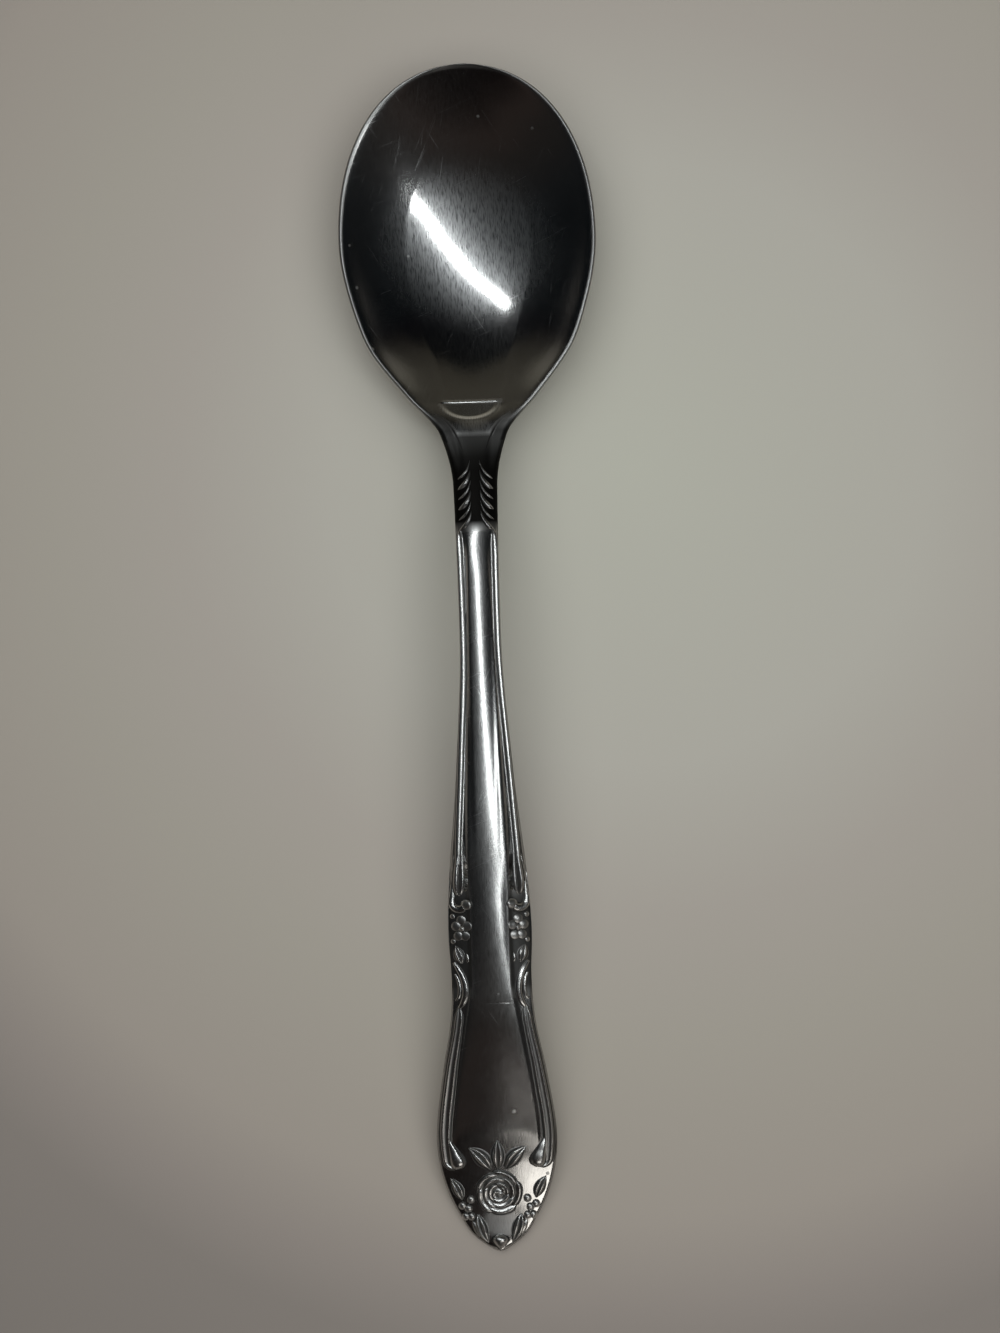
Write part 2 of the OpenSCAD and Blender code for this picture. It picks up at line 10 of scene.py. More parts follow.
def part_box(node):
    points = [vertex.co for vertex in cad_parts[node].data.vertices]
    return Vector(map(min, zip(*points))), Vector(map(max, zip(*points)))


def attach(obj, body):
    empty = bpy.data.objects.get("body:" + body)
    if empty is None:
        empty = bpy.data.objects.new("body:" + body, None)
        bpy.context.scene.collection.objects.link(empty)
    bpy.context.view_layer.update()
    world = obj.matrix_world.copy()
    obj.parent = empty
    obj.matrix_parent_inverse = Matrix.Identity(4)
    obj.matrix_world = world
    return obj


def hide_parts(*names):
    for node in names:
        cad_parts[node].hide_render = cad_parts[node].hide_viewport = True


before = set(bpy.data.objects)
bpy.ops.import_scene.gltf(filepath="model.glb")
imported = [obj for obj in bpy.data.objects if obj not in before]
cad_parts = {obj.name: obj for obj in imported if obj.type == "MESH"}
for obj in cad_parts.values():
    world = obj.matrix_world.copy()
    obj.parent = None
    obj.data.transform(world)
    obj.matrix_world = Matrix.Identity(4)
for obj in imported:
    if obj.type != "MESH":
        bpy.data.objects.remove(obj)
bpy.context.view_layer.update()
mm = 0.001
tipRing = 0.128  # the blank starts this far from its pointed end, in mm
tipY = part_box("handle_end")[0].y


def planY(s):
    # s runs in mm from the handle tip towards the bowl, as on a die drawing
    return tipY + (s - tipRing) * mm


def lerp(a, b, u):
    return a + (b - a) * u


def ease(u):
    u = max(0, min(1, u))
    return u * u * (3 - 2 * u)


def fade(value, start, stop):
    # 0 before start, 1 past stop
    return ease((value - start) / (stop - start))


def follow(line, place):
    # value at a place on a line of (place, value) points
    i = max(1, min(len(line) - 1, bisect_left(line, (place,))))
    (a, low), (b, high) = line[i - 1], line[i]
    return lerp(low, high, max(0, min(1, (place - a) / (b - a))))


def deselect():
    if bpy.context.object and bpy.context.object.mode != "OBJECT":
        bpy.ops.object.mode_set(mode="OBJECT")
    bpy.ops.object.select_all(action="DESELECT")


def selectOnly(pieces):
    deselect()
    for piece in pieces:
        piece.select_set(True)
    bpy.context.view_layer.objects.active = pieces[0]


def joined(pieces, name):
    selectOnly(pieces)
    if len(pieces) > 1:
        bpy.ops.object.join()
    piece = bpy.context.object
    piece.name = name
    piece.data.name = name
    return piece


def cleaned(piece, merge):
    selectOnly([piece])
    bpy.ops.object.mode_set(mode="EDIT")
    bpy.ops.mesh.select_all(action="SELECT")
    bpy.ops.mesh.remove_doubles(threshold=merge)
    bpy.ops.mesh.normals_make_consistent(inside=False)
    bpy.ops.object.mode_set(mode="OBJECT")
    bpy.ops.object.shade_smooth()
    return piece


def mirroredCopy(piece):
    twin = piece.copy()
    twin.data = piece.data.copy()
    bpy.context.collection.objects.link(twin)
    selectOnly([twin])
    twin.scale = (-1, 1, 1)
    bpy.ops.object.transform_apply(location=False, rotation=False, scale=True)
    return twin


# Blank: the five struck sections, welded into one skin and smoothed
blankForm = {
    "sections": ["handle_end", "shoulder", "stem", "neck", "bowl"],
    "weld": 0.002 * mm,
    "flat": 0.001 * mm,  # a face that is no longer than this along the spoon is a wall across it
    "end": 0.05 * mm,  # but stays this near to the tip or to the front of the bowl
    "levels": 2,
    "ring": 20,  # a row with more vertices than this is a whole ring
}
frontUp = 0.3  # the front is where the normal points up by more than this
castFrom = 50 * mm  # height above all of the spoon


def makeBlank():
    copies = []
    for name in blankForm["sections"]:
        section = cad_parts[name].copy()
        section.data = section.data.copy()
        section.parent = None
        for key in list(section.keys()):
            del section[key]
        bpy.context.collection.objects.link(section)
        copies.append(section)
    blank = joined(copies, "blank")
    bpy.ops.object.mode_set(mode="EDIT")
    bpy.ops.mesh.select_all(action="SELECT")
    bpy.ops.mesh.remove_doubles(threshold=blankForm["weld"])
    bpy.ops.mesh.select_all(action="DESELECT")
    bpy.ops.object.mode_set(mode="OBJECT")
    ends = [min(v.co.y for v in blank.data.vertices), max(v.co.y for v in blank.data.vertices)]
    for face in blank.data.polygons:  # walls inside the blank, where two sections met
        rows = [blank.data.vertices[i].co.y for i in face.vertices]
        inside = min(abs(rows[0] - end) for end in ends) > blankForm["end"]
        face.select = inside and max(rows) - min(rows) < blankForm["flat"]
    bpy.ops.object.mode_set(mode="EDIT")
    bpy.ops.mesh.select_mode(type="FACE")
    bpy.ops.mesh.delete(type="FACE")
    bpy.ops.mesh.select_all(action="SELECT")
    bpy.ops.mesh.delete_loose(use_verts=True, use_edges=True, use_faces=False)
    bpy.ops.mesh.select_all(action="SELECT")
    bpy.ops.mesh.tris_convert_to_quads(face_threshold=math.pi, shape_threshold=math.pi)
    bpy.ops.mesh.normals_make_consistent(inside=False)
    bpy.ops.object.mode_set(mode="OBJECT")
    sides = [len(face.vertices) for face in blank.data.polygons]
    print("blank cage:", sides.count(4), "quads,", sides.count(3), "triangles")
    smooth = blank.modifiers.new("smooth", "SUBSURF")
    smooth.levels = smooth.render_levels = blankForm["levels"]
    bpy.ops.object.modifier_apply(modifier="smooth")
    bpy.ops.object.shade_smooth()
    return blank


def edgeRows(piece):
    rows = {}
    for vertex in piece.data.vertices:
        row = round(vertex.co.y / mm, 2)
        count, reach = rows.get(row, (0, 0))
        rows[row] = (count + 1, max(reach, vertex.co.x / mm))
    return sorted((row, reach) for row, (count, reach) in rows.items() if count > blankForm["ring"])


def edgeX(s):
    # half width of the blank at s, in mm
    return follow(outline, planY(s) / mm)


def alongSpoon(vertex):
    return (vertex.co.y - tipY) / mm + tipRing


def skinOf(piece):
    corners = [vertex.co for vertex in piece.data.vertices]
    return BVHTree.FromPolygons(corners, [face.vertices for face in piece.data.polygons])


def topOf(skin, x, y):
    return skin.ray_cast(Vector((x, y, castFrom)), Vector((0, 0, -1)))[0]


# Half moon pressed into the heel, drawn anew on a finer patch of the blank: its floor sinks towards the round
# side, and a lip stands before the straight one
moonForm = {
    "at": 109.2,  # the straight side
    "middle": -0.4,
    "half": 3.9,
    "tall": 2.35,
    "patch": (4.7, 106.2, 110.0),  # half width and ends of the finer patch
    "floor": (0.05, 0.13),  # depth at the straight side and at the round one
    "wall": 0.5,
    "lip": (0.2, 0.033),  # width and height
    "lipSlope": 1.3,
    "lipEnds": 1.2,
    "brink": 0.15,
    "past": (0.35, 0.5),  # how far the smoothed heel reaches past the round side and past the straight one
    "step": 0.15,  # over which the slope of the heel is taken there
}


def plainHeel(skin, x, s):
    # height of the heel without the moon, carried across it from both sides by a cubic
    reach = moonForm["tall"] * math.sqrt(1 - ((x - moonForm["middle"]) / moonForm["half"]) ** 2)
    low, high = moonForm["at"] - reach - moonForm["past"][0], moonForm["at"] + moonForm["past"][1]
    if not low < s < high:
        return None
    step = moonForm["step"]
    a, b, c, d = [topOf(skin, x * mm, planY(place)).z for place in (low - step, low, high, high + step)]
    long, u = high - low, (s - low) / (high - low)
    first, last = (b - a) / step * long, (d - c) / step * long
    return lerp(b, c, ease(u)) + u * (1 - u) * ((1 - u) * first - u * last)


def moonHeight(x, s):
    x -= moonForm["middle"]
    straight = moonForm["at"] - s
    rise = straight / moonForm["tall"]
    curved = (1 - math.hypot(x / moonForm["half"], rise)) * moonForm["tall"]
    wide, tall = moonForm["lip"]
    lip = tall * max(0, min(1, 1 + straight / wide)) ** moonForm["lipSlope"]
    lip *= ease((moonForm["half"] - abs(x)) / moonForm["lipEnds"])
    floor = -lerp(*moonForm["floor"], max(0, rise)) * ease(curved / moonForm["wall"])
    return lerp(lip, floor, ease(straight / moonForm["brink"]))


def sharpenMoon(blank):
    wide, low, high = moonForm["patch"]
    skin = skinOf(blank)
    selectOnly([blank])
    bpy.ops.object.mode_set(mode="EDIT")
    bpy.ops.mesh.select_mode(type="FACE")
    bpy.ops.mesh.select_all(action="DESELECT")
    bpy.ops.object.mode_set(mode="OBJECT")
    for face in blank.data.polygons:
        x, y = face.center.xy
        face.select = abs(x) < wide * mm and planY(low) < y < planY(high) and face.normal.z > frontUp
    bpy.ops.object.mode_set(mode="EDIT")
    bpy.ops.mesh.subdivide(number_cuts=1)
    bpy.ops.object.mode_set(mode="OBJECT")
    for vertex in blank.data.vertices:
        x, s = vertex.co.x / mm, alongSpoon(vertex)
        if vertex.select and abs(x - moonForm["middle"]) < moonForm["half"]:
            plain = plainHeel(skin, x, s)
            if plain:
                vertex.co.z = plain + moonHeight(x, s) * mm


# The stem's panel was polished a little askew, so its highlight runs left of where an even one would have it.
# The shoulder's panel is more rounded
leanForm = {
    "along": [(50, 0), (58, 0.09), (88, 0.09), (92, 0)],
    "reach": (1.2, 1.9),
    "crown": [(34, 0), (40, 0.05), (43, 0.06), (46, 0.065), (52, 0)],
    "crownReach": 2.2,
}


def leanPanel(blank):
    front = [vertex for vertex in blank.data.vertices if vertex.normal.z > frontUp]
    for vertex in front:
        x, s = vertex.co.x / mm, alongSpoon(vertex)
        drop = follow(leanForm["along"], s) * x * (1 - fade(abs(x), *leanForm["reach"]))
        drop += follow(leanForm["crown"], s) * min(abs(x), leanForm["crownReach"]) ** 2
        vertex.co.z -= drop * mm


# Age and painted shade: oxide in the ground between the leaf marks, in the two flutes of the heel and round
# the shoulder's ornaments; painted shade in the same dark layer down the neck past the leaf marks, on the
# neck outside the flutes and thinly on the sides; the panel's right corner above the rose darkened; wear on
# every edge; a satin handle, a dull ground below the rose and hazy places.
# A pair named Up holds upward shares of the normal, and a tone fades in from the first to the second
ageAndShadeForm = {
    # dark layer along the neck: oxide in the ground between the leaf marks, then painted shade on the neck
    # past them
    "oxideAndShade": [(92.3, 0), (93.8, 1), (100.2, 1), (102.0, 0.985), (103.4, 0.94), (104.1, 0.925), (104.6, 0.92),
              (105.0, 0.72), (105.3, 0.4), (105.6, 0.12), (106.0, 0)],
    "oxideUp": (-0.35, -0.05),
    "flutes": [(100.0, 1.15), (102.5, 1.35), (104.3, 1.95), (105.8, 2.75), (106.6, 3.4), (108.4, 5.6)],
    "fluteFade": [(99.6, 0), (101.0, 0.95), (105.4, 1), (106.6, 0.8), (108.4, 0)],
    "fluteHalf": 0.45,
    "fluteRidgeShade": (0.93, 0.3),  # painted shade on the neck outside a flute: how dark it is, and how fast that comes
    # painted shade on the handle's sides, up to the neck
    "side": [(97.5, 0.55), (100.5, 0)],
    "sideShadeUp": (0.5, 0.25),
    "sideShadeBackUp": (-0.3, 0),
    "moon": 0.3,
    "moonSoft": 0.4,
    "moonRound": (0.95, 0.7),
    "scuff": (0.95, 0.09),  # middle and half width of the scuffed round side of the moon
    "scuffSoft": 0.3,
    "ground": [(33, 0), (35, 0.85), (46, 0.85), (49, 0)],  # between the shoulder's ornaments
    "groundX": (2.2, 2.5),
    "darkening": [(11.8, 0), (13.0, 0.72), (15.0, 0.68), (18.5, 0)],  # darker in the panel's right corner above the rose
    "darkeningX": (0.6, 2.8),
    "wornUp": (0.74, 0.5),
    "rim": 104.0,  # from here on, wear reaches inward from the edge
    "rimReach": (0.7, 0.4),
    "edgeUp": 0.15,  # the edge is where the normal points up or down by less than this
    "satin": [(30, 0.5), (34, 1), (92, 1), (95, 0)],
    "lip": 1.5,  # satin of the moon's lip
    "lipAlong": (0.4, 0.2),
    "lipEnd": 0.2,
    "lipUp": (0, 0.2),
    "dull": (3.9, 3.0, 2.6, 3.2),  # below the rose: middle, reach across and along, strength
    "haze": [(129.5, 14.0, 12.0, 1), (105.9, 3.2, 1.5, 1), (3.9, 3.0, 2.6, 1.3)],  # told likewise
    "hazeCore": 0.45,  # share of its reach where a patch begins to fade
    "handleHaze": [(30, 0.03), (40, 0.3), (90, 0.3), (94, 0)],
}


# oxide in a flute, and painted shade on the neck outside it
def fluteOxideAndShade(x, s):
    past = x - follow(ageAndShadeForm["flutes"], s)
    dark, soft = ageAndShadeForm["fluteRidgeShade"]
    flute = math.exp(-(past / ageAndShadeForm["fluteHalf"]) ** 2)
    return follow(ageAndShadeForm["fluteFade"], s) * max(flute, dark * ease(past / soft))


def groundTone(x, s, place):
    return follow(ageAndShadeForm[place], s) * fade(x, *ageAndShadeForm[place + "X"])


def moonFar(x, s):
    return math.hypot((x - moonForm["middle"]) / moonForm["half"], (moonForm["at"] - s) / moonForm["tall"])


def moonTone(x, s):
    straight = ease((moonForm["at"] - s) / ageAndShadeForm["moonSoft"])
    return ageAndShadeForm["moon"] * straight * fade(moonFar(x, s), *ageAndShadeForm["moonRound"])


def moonHaze(x, s):
    middle, half = ageAndShadeForm["scuff"]
    straight = ease((moonForm["at"] - s) / ageAndShadeForm["scuffSoft"])
    return math.exp(-((moonFar(x, s) - middle) / half) ** 2) * straight


def hazeTone(x, s, middle, wide, tall, strength):
    return strength * (1 - fade(math.hypot(x / wide, (s - middle) / tall), ageAndShadeForm["hazeCore"], 1))


def lipSatin(x, s, up):
    along = fade(abs(s - moonForm["at"]), *ageAndShadeForm["lipAlong"])
    across = ease((moonForm["half"] - abs(x)) / ageAndShadeForm["lipEnd"])
    return ageAndShadeForm["lip"] * along * across * fade(up, *ageAndShadeForm["lipUp"])


def edgeTree(blank):
    sides = [vertex.co for vertex in blank.data.vertices if abs(vertex.normal.z) < ageAndShadeForm["edgeUp"]]
    tree = KDTree(len(sides))
    for i, spot in enumerate(sides):
        tree.insert((spot.x, spot.y, 0), i)
    tree.balance()
    return tree


def ageAndShadeBlank(blank):
    names = ["oxideAndShade", "darkening", "worn", "satin", "haze"]
    for name in names:
        blank.data.attributes.new(name, "FLOAT", "POINT")
    layers = {name: blank.data.attributes[name].data for name in names}
    edge = edgeTree(blank)
    for i, vertex in enumerate(blank.data.vertices):
        x, s, up = vertex.co.x / mm, alongSpoon(vertex), vertex.normal.z
        # painted shade on the sides goes into the same dark layer as the oxide
        side = follow(ageAndShadeForm["side"], s) * fade(up, *ageAndShadeForm["sideShadeUp"]) * fade(up, *ageAndShadeForm["sideShadeBackUp"])
        front = max(follow(ageAndShadeForm["oxideAndShade"], s), fluteOxideAndShade(abs(x), s), moonTone(x, s),
                    groundTone(abs(x), s, "ground"))
        layers["oxideAndShade"][i].value = max(front * fade(up, *ageAndShadeForm["oxideUp"]), side)
        layers["darkening"][i].value = groundTone(x, s, "darkening")
        worn = fade(up, *ageAndShadeForm["wornUp"])
        if s > ageAndShadeForm["rim"] and up > 0:
            inward = edge.find((vertex.co.x, vertex.co.y, 0))[2] / mm
            worn = max(worn, fade(inward, *ageAndShadeForm["rimReach"]))
        layers["worn"][i].value = worn
        layers["satin"][i].value = max(follow(ageAndShadeForm["satin"], s), lipSatin(x, s, up),
                                       hazeTone(x, s, *ageAndShadeForm["dull"]))
        patches = [hazeTone(x, s, *patch) for patch in ageAndShadeForm["haze"]]
        layers["haze"][i].value = max(*patches, moonHaze(x, s), follow(ageAndShadeForm["handleHaze"], s))


blank = makeBlank()
outline = edgeRows(blank)
sharpenMoon(blank)
leanPanel(blank)
ageAndShadeBlank(blank)
skin = skinOf(blank)
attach(blank, "root")
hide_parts(*blankForm["sections"])
print("blank made,", len(blank.data.polygons), "faces")

# Ornament: ridges are bevelled curves drawn in plan, which are then laid on the blank.
# A profile goes across a ridge: place and height in half widths, and how dark the oxide lies there.
threadHalf = [(0, 0.7, 0), (0.4, 0.66, 0), (0.66, 0.54, 0), (0.84, 0.34, 0.2), (0.97, 0.16, 0.7),
              (1.1, 0.04, 1), (1.35, -0.06, 0.3)]
reedHalf = [(0, 0.2, 0.5), (0.2, 0.24, 0.3), (0.42, 0.35, 0), (0.62, 0.41, 0), (0.8, 0.34, 0.05),
            (0.93, 0.17, 0.6), (1.05, 0.05, 1), (1.25, 0.015, 0.5), (1.45, -0.03, 0)]
leafHalf = [(0, 0.18, 1), (0.1, 0.26, 0.6), (0.28, 0.48, 0.05), (0.52, 0.58, 0), (0.74, 0.46, 0.05),
            (0.9, 0.23, 0.5), (1.03, 0.07, 1), (1.3, 0.02, 0.5), (1.6, -0.03, 0)]
bandAcross = [(-1.35, -0.06, 0.3), (-1.12, 0.04, 1), (-1.0, 0.16, 0.7), (-0.9, 0.34, 0.25), (-0.74, 0.47, 0),
              (-0.5, 0.54, 0), (-0.22, 0.56, 0), (0.02, 0.535, 0), (0.17, 0.46, 0.15), (0.28, 0.36, 0.9),
              (0.4, 0.4, 0.5), (0.5, 0.47, 0), (0.66, 0.49, 0), (0.82, 0.4, 0.1), (0.95, 0.18, 0.6),
              (1.08, 0.05, 1), (1.3, -0.06, 0.3)]
petalAcross = [(-1.5, -0.03, 0), (-1.25, 0.02, 0.5), (-1.02, 0.06, 1), (-0.8, 0.16, 0.5), (-0.4, 0.4, 0.05),
               (0.05, 0.62, 0), (0.45, 0.75, 0), (0.75, 0.69, 0.05), (0.93, 0.44, 0.4), (1.03, 0.12, 1),
               (1.2, 0.03, 0.6), (1.45, -0.03, 0)]


def bothHalves(half):
    return [(-place, height, tone) for place, height, tone in half[:0:-1]] + half


ridgeProfiles = {
    "thread": bothHalves(threadHalf),
    "reed": bothHalves(reedHalf),
    "leaf": bothHalves(leafHalf),
    "band": bandAcross,
    "petal": petalAcross,
}


def makeProfile(name):
    shape = bpy.data.curves.new(name + "Profile", "CURVE")
    line = shape.splines.new("POLY")
    line.points.add(len(ridgeProfiles[name]) - 1)
    for point, (place, height, tone) in zip(line.points, ridgeProfiles[name]):
        point.co = (place, height, 0, 1)
    line.use_cyclic_u = True
    profile = bpy.data.objects.new(name + "Profile", shape)
    bpy.context.collection.objects.link(profile)
    return profile


profileCurves = {name: makeProfile(name) for name in ridgeProfiles}


def ridge(path, profile, lift=0):
    # path holds (x, s, half width) in mm; a lift raises the ridge above the ground
    deselect()
    bpy.ops.curve.primitive_bezier_curve_add(radius=mm)
    curve = bpy.context.object
    line = curve.data.splines[0]
    line.bezier_points.add(len(path) - 2)
    for point, (x, s, half) in zip(line.bezier_points, path):
        point.co = (x * mm, planY(s), lift * mm)
        point.radius = half * mm
        point.handle_left_type = point.handle_right_type = "AUTO"
    line.resolution_u = 8
    line.radius_interpolation = "CARDINAL"
    curve.data.twist_mode = "Z_UP"
    curve.data.bevel_mode = "OBJECT"
    curve.data.bevel_object = profileCurves[profile]
    curve.data.use_fill_caps = True
    bpy.ops.object.convert(target="MESH")
    made = bpy.context.object
    tones = [tone for place, height, tone in ridgeProfiles[profile]]
    oxideAndShade = made.data.attributes.new("oxideAndShade", "FLOAT", "POINT")
    spine = made.data.attributes.new("spine", "FLOAT_VECTOR", "POINT")
    for i, value in enumerate(oxideAndShade.data):
        value.value = tones[i % len(tones)]
        middle = made.data.vertices[i - i % len(tones) + len(tones) // 2].co
        spine.data[i].vector = (abs(middle.x), middle.y, 1)
    return made


leafSwell = [(0, 0.16), (0.12, 0.55), (0.3, 0.92), (0.5, 1), (0.7, 0.8), (0.88, 0.4), (1, 0.06)]
dropSwell = [(0, 0.1), (0.25, 0.42), (0.5, 0.72), (0.75, 1), (0.9, 0.9), (0.97, 0.55), (1, 0.15)]


def leaf(base, tip, width, bend=0, swell=leafSwell, profile="leaf"):
    path = []
    across = (base[1] - tip[1], tip[0] - base[0])
    for u, full in swell:
        bow = bend * 4 * u * (1 - u)
        x, s = [lerp(base[i], tip[i], u) + across[i] * bow for i in range(2)]
        path.append((x, s, width / 2 * full))
    return ridge(path, profile)


def edgeDrop(form, profile):
    # a leaf that swells towards its foot and keeps to the edge of the blank
    base, tip = [(edgeX(s) - inward, s) for s, inward in zip(form["ends"], form["edges"])]
    return leaf(base, tip, form["width"], swell=dropSwell, profile=profile)


def around(middle, radius, degrees):
    turn = math.radians(degrees)
    return middle[0] + radius * math.cos(turn), middle[1] + radius * math.sin(turn)


def roundEnd(u, steep, least):
    # share of the full width near the end of a ridge, where it begins with the least and rises steeply
    return math.sqrt(max(least, min(1, steep * u)))


petalForm = {"steps": 8, "steep": 5, "least": 0.08}


def petal(middle, radii, angles, half, lift):
    path = []
    for i in range(petalForm["steps"] + 1):
        u = i / petalForm["steps"]
        full = roundEnd(min(u, 1 - u), petalForm["steep"], petalForm["least"])
        path.append((*around(middle, lerp(*radii, u), lerp(*angles, u)), half * full))
    return ridge(path, "petal", lift)


# Small knobs are flattened balls, cut off a little below the ground, dark round the foot and worn dull
beadForm = {"segments": 24, "rings": 16, "sunk": 0.15, "cut": 0.001 * mm, "clean": 0.7, "satin": 0.9}


def bead(x, s, radius, height):
    deselect()
    bpy.ops.mesh.primitive_uv_sphere_add(segments=beadForm["segments"], ring_count=beadForm["rings"],
                                         radius=radius * mm)
    made = bpy.context.object
    bpy.ops.object.mode_set(mode="EDIT")
    bpy.ops.transform.resize(value=(1, 1, height / radius))
    foot = (0, 0, -beadForm["sunk"] * height * mm)
    bpy.ops.mesh.bisect(plane_co=foot, plane_no=(0, 0, 1), threshold=beadForm["cut"], clear_inner=True,
                        use_fill=True)
    bpy.ops.mesh.select_all(action="SELECT")
    bpy.ops.transform.translate(value=(x * mm, planY(s), 0))
    bpy.ops.object.mode_set(mode="OBJECT")
    layers = made.data.attributes
    for name in ["oxideAndShade", "satin"]:
        layers.new(name, "FLOAT", "POINT")
    for i, vertex in enumerate(made.data.vertices):
        layers["oxideAndShade"].data[i].value = 1 - ease(vertex.co.z / mm / height / beadForm["clean"])
        layers["satin"].data[i].value = beadForm["satin"]
    return made


layForm = {
    "inset": 0.9,  # what lies past the edge takes its height from this share of the way out
    "levelFrom": 0.12 * mm,  # a ridge is level across its back from this height on
}


def layOn(piece, level):
    # the feet of a ridge follow the ground, and its back stays level across it by the given share
    spines = piece.data.attributes.get("spine")
    for i, vertex in enumerate(piece.data.vertices):
        x, y, height = vertex.co
        hit = topOf(skin, x, y)
        if not hit:  # past the edge of the blank: wrapped round it
            inner = topOf(skin, layForm["inset"] * x, y) or Vector((x, y, 0))
            vertex.co = skin.find_nearest(Vector((x, y, inner.z)))[0]
            continue
        base = hit.z
        middle = spines.data[i].vector if spines else Vector()
        if level and middle.z:
            spot = topOf(skin, math.copysign(middle.x, x), middle.y)
            base = lerp(base, spot.z if spot else base, level * ease(height / layForm["levelFrom"]))
        vertex.co.z = base + height


def struck(shapes, name, node, mirrored=True, level=0):
    if mirrored:
        shapes = shapes + [mirroredCopy(shape) for shape in shapes]
    piece = cleaned(joined(shapes, name), blankForm["weld"])
    layOn(piece, level)
    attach(piece, "root")
    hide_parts(node)
    print(name, "made,", len(piece.data.polygons), "faces")
    return piece


# Two rows of slanting leaves on the neck, in turn bold and fine
markForm = {
    "first": 92.7,
    "pitch": 1.3,
    "count": 6,
    "outer": 2.2,
    "inner": 0.6,
    "rise": 2.4,
    "widths": (0.52, 0.28),
    "bend": 0.12,
    "swell": [(0, 0.2), (0.1, 0.7), (0.26, 1), (0.48, 0.92), (0.7, 0.66), (0.88, 0.34), (1, 0.08)],
    "darkening": 0.75,
    "darkeningX": (1.0, 1.9),  # the inner ends are painted in shade, which fades out between these places
}


def markLeaf(k):
    low = markForm["first"] + k * markForm["pitch"]
    base, tip = (markForm["outer"], low), (markForm["inner"], low + markForm["rise"])
    return leaf(base, tip, markForm["widths"][k % 2], markForm["bend"], markForm["swell"], "thread")


# Painted shade on the inner ends of the leaf marks, so that only their outer ends stand out bright
def shadeMarkEnds(marks):
    darkening = marks.data.attributes.new("darkening", "FLOAT", "POINT")
    for vertex, value in zip(marks.data.vertices, darkening.data):
        value.value = markForm["darkening"] * (1 - fade(abs(vertex.co.x) / mm, *markForm["darkeningX"]))


leafMarks = struck([markLeaf(k) for k in range(markForm["count"])], "leafMarks", "leaf_marks", level=0.5)
shadeMarkEnds(leafMarks)

# Thread along each edge of the stem, with a veined club at its foot
stemThreadForm = {
    "ends": (92.7, 50.5),
    "edges": (0.56, 1.15),
    "halves": (0.54, 0.5),
    "late": 5,  # power by which the foot's edge and half width come in late
    "steps": 14,
    "steep": 40,
    "least": 0.06,
}
clubForm = {"ends": (55.5, 46.5), "edges": (0.95, 1.3), "width": 1.6}


def stemThread():
    path = []
    for i in range(stemThreadForm["steps"] + 1):
        u = (1 - math.cos(math.pi * i / stemThreadForm["steps"])) / 2
        s = lerp(*stemThreadForm["ends"], u)
        late = u ** stemThreadForm["late"]
        full = roundEnd(u, stemThreadForm["steep"], stemThreadForm["least"])
        inward = lerp(*stemThreadForm["edges"], late)
        path.append((edgeX(s) - inward, s, lerp(*stemThreadForm["halves"], late) * full))
    return ridge(path, "band")


club = edgeDrop(clubForm, "leaf")
stemThreads = struck([stemThread(), club], "stemThreads", "stem_threads", level=1)

# Hook under each club: a tail down the edge, a round turn and a bead
hookForm = {
    "tail": 51.5,
    "turnAt": 45.8,
    "edge": 0.42,
    "radius": 0.95,
    "half": 0.48,
    "tailShares": (0.2, 0.95),  # of the half width, along the tail and then round the turn
    "turnShares": (1, 1.15),
    "steps": 6,
    "stop": -125,  # degrees
    "beadAt": -155,
    "bead": (0.72, 0.5),
}


def hook():
    steps = hookForm["steps"]
    middle = (edgeX(hookForm["turnAt"]) - hookForm["edge"] - hookForm["radius"], hookForm["turnAt"])
    path = []
    for i in range(steps):
        u = i / steps
        s = lerp(hookForm["tail"], hookForm["turnAt"], u)
        path.append((edgeX(s) - hookForm["edge"], s, hookForm["half"] * lerp(*hookForm["tailShares"], u * u)))
    for i in range(steps + 1):
        spot = around(middle, hookForm["radius"], hookForm["stop"] * i / steps)
        path.append((*spot, hookForm["half"] * lerp(*hookForm["turnShares"], i / steps)))
    last = around(middle, hookForm["radius"], hookForm["beadAt"])
    return [ridge(path, "thread"), bead(*last, *hookForm["bead"])]


stemScrolls = struck(hook(), "stemScrolls", "stem_scrolls", level=0.8)

# Flower of five round petals on each shoulder, with a bud above and below it at the edge
flowerForm = {
    "middle": (3.6, 42.35),
    "reach": (0.74, 1.12),
    "petals": 5,
    "first": 90,  # degrees
    "petal": (0.64, 0.22),
    "heart": (0.38, 0.36),
    "buds": [(4.7, 43.95), (4.7, 40.75)],
    "bud": (0.34, 0.2),
}


def flower():
    x, s = flowerForm["middle"]
    wide, tall = flowerForm["reach"]
    parts = [bead(x, s, *flowerForm["heart"])]
    for k in range(flowerForm["petals"]):
        turn = math.radians(flowerForm["first"] + 360 / flowerForm["petals"] * k)
        parts.append(bead(x + wide * math.cos(turn), s + tall * math.sin(turn), *flowerForm["petal"]))
    return parts + [bead(*spot, *flowerForm["bud"]) for spot in flowerForm["buds"]]


shoulderFlowers = struck(flower(), "shoulderFlowers", "shoulder_flowers")

